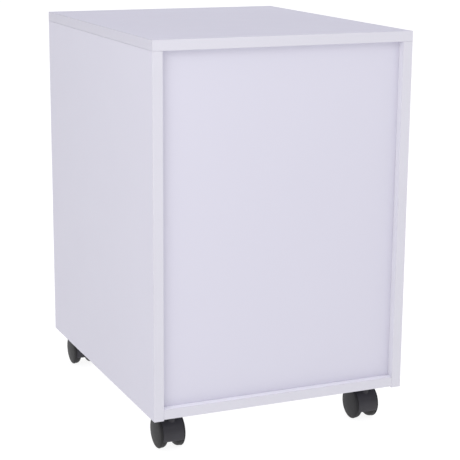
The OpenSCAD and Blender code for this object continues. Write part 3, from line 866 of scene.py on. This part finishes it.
def make_hood(name, body, axle, r_out, low_angle):
    """The crowned hood over both wheels, which runs from low_angle to HOOD_END round the axle."""
    body_low, body_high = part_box(name + "_caster_body")
    half, thin, crown = (body_high.x - body_low.x) / 2, HOOD_T / 2, 0.6 * MM

    def section(swell):
        """Cross-section of the hood, as (across, radius) points; swell 1 is full thickness."""
        outer, inner = [], []
        for i in range(15):
            u = i / 7 - 1
            sink = crown * abs(u) ** 3
            outer.append((u * (half - SOFT), r_out - sink - thin + thin * swell))
            inner.append((u * (half - SOFT), r_out - thin - thin * swell - sink * 0.15))
        deep = thin - crown * 0.4
        turns = [math.pi / 8 * k for k in range(3, -4, -1)]
        right = [(half - SOFT + SOFT * math.cos(a), r_out - crown - deep + deep * math.sin(a) * swell)
                 for a in turns]
        left = [(-x, q) for x, q in right[::-1]]
        return outer + right + inner[::-1] + left

    # angles, with how full the hood is there: its two ends are thinned to soft lips
    span = HOOD_END - low_angle - 2 * HOOD_LIP
    stations = [(low_angle, 0.25), (low_angle + HOOD_LIP * 0.3, 0.75), (low_angle + HOOD_LIP, 1.0)]
    stations += [(low_angle + HOOD_LIP + span * i / 36, 1.0) for i in range(1, 36)]
    stations += [(HOOD_END - HOOD_LIP, 1.0), (HOOD_END - HOOD_LIP * 0.3, 0.75), (HOOD_END, 0.25)]
    rings = []
    for angle, swell in stations:
        a = math.radians(angle)
        rings.append([axle + Vector((x, q * math.cos(a), q * math.sin(a))) for x, q in section(swell)])
    bm = bmesh.new()
    add_loft(bm, rings)
    hood = piece_from(bm, name + "_hood", "nylon", body, 50)
    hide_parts(name + "_caster_body")


def make_web(name, body, axle, r_out, low_angle):
    """The web between the wheels: a drum round the axle that runs up into the hood."""
    half, drum_r, fill_r = 4.0 * MM, 16.6 * MM, r_out - HOOD_T * 0.6
    start, end = low_angle + WEB_BACK, HOOD_END - WEB_BACK
    outline = arc((0, 0), fill_r, start, end, 40)
    outline += arc((0, 0), drum_r, end + WEB_BLEND, 360 + start - WEB_BLEND, 40)
    rings = []
    for x, inset in ((-half, SOFT), (BEVEL - half, BEVEL), (SOFT - half, 0), (half - SOFT, 0),
                     (half - BEVEL, BEVEL), (half, SOFT)):
        shrink = 1 - inset / drum_r
        rings.append([axle + Vector((x, u * shrink, v * shrink)) for u, v in outline])
    bm = bmesh.new()
    add_loft(bm, rings)
    piece_from(bm, name + "_web", "nylon", body, 50)


def make_collar(name, body, swivel, axle, r_out):
    """The collar that turns on the kingpin, flared where it meets the hood."""
    base, top, neck_r, bore = axle.z + 10 * MM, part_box(name + "_caster_body")[1].z, 5.6 * MM, 4.1 * MM
    profile = [(bore, base), (neck_r + 2.0 * MM, base), (neck_r + 1.2 * MM, base + 9 * MM),
               (neck_r + 0.3 * MM, base + 14 * MM), (neck_r, base + 16 * MM), (neck_r, top - SOFT),
               (neck_r - BEVEL, top - BEVEL), (neck_r - SOFT, top), (bore, top)]
    bm = bmesh.new()
    add_lathe(bm, profile, Matrix.Translation(swivel), 64, closed=True)
    collar = piece_from(bm, name + "_collar", "nylon", body, 50)

    # the space of the wheels, cut away from the collar
    room_r, room_half = r_out - HOOD_T - 0.3 * MM, 30 * MM
    room = bmesh.new()
    add_lathe(room, [(0, -room_half), (room_r, -room_half), (room_r, room_half), (0, room_half)],
              axes_at(axle, Y, Z, X), 96)
    cut_with(collar, room)


def make_plate(name, swivel):
    """The stamped top plate, and the kingpin riveted into it."""
    low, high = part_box(name + "_caster_plate")
    under = high.z - PLATE_T
    width, corner = high.x - low.x, 4 * MM
    rings = []
    for z, inset in ((under, 0.5), (under + 0.15 * MM, 0.15), (under + 0.5 * MM, 0), (high.z - 0.2 * MM, 0),
                     (high.z, 0.2)):
        w = width - 2 * inset * MM
        rings.append([Vector((swivel.x + u, swivel.y + v, z)) for u, v in round_rect(w, w, corner, 8)])
    bm = bmesh.new()
    add_loft(bm, rings)
    plate = piece_from(bm, name + "_top_plate", "zinc", "carcass")
    mouths = [(swivel.x + a * PLATE_HOLE, swivel.y + b * PLATE_HOLE, under)
              for a in (-1, 1) for b in (-1, 1)]
    drill(plate, [(mouth, (0, 0, 1), 1.8 * MM, 3 * MM) for mouth in mouths])
    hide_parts(name + "_caster_plate")
    pin_r, pin_edge = 4 * MM, 0.8 * MM
    profile = [(0, low.z), (pin_r - pin_edge, low.z), (pin_r, low.z + pin_edge), (pin_r, under), (0, under)]
    bm = bmesh.new()
    add_lathe(bm, profile, Matrix.Translation(swivel), 48)
    piece_from(bm, name + "_kingpin", "zinc", "carcass")


def make_caster(name):
    """One twin-wheel caster. Its axle and its screws keep their CAD shape."""
    body = name + "_caster"
    swivel, axle, r_out = caster_axes(name)
    low_angle = math.degrees(math.asin((HOOD_LOW - axle.z) / r_out))
    make_plate(name, swivel)
    make_hood(name, body, axle, r_out, low_angle)
    make_web(name, body, axle, r_out, low_angle)
    make_collar(name, body, swivel, axle, r_out)
    outer = 1 if name.endswith("right") else -1
    for which, side in (("outer", outer), ("inner", -outer)):
        bm = make_wheel(f"{name}_{which}_wheel", side)
        wheel = piece_from(bm, f"{name}_{which}_roller_wheel", "wheel_nylon", f"{name}_{which}_roller",
                           38)
        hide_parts(f"{name}_{which}_wheel")


# ---------------------------------------------------------------- CAD nodes that keep their shape
def finish_cad_nodes():
    """Hardware whose CAD shape is already right only gets its finish."""
    kept = ["cam_fittings", "wood_screws", "caster_screws"]
    kept += [drawer + "_handle_screws" for drawer in DRAWERS]
    kept += [caster + "_axle" for caster in CASTERS]
    for node in kept:
        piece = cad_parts[node]
        piece.data.materials.clear()
        piece.data.materials.append(materials["zinc"])


bpy.context.scene.view_settings.view_transform = "Standard"
make_camera()
make_world()
for softbox in SOFTBOXES:
    make_softbox(*softbox)
make_floor()
make_carcass()
make_strike()
for drawer in DRAWERS:
    make_slides(drawer)
    make_front(drawer)
    make_drawer_box(drawer)
    make_handle(drawer)
make_hanging_rails()
make_lock()
for caster in CASTERS:
    make_caster(caster)
finish_cad_nodes()
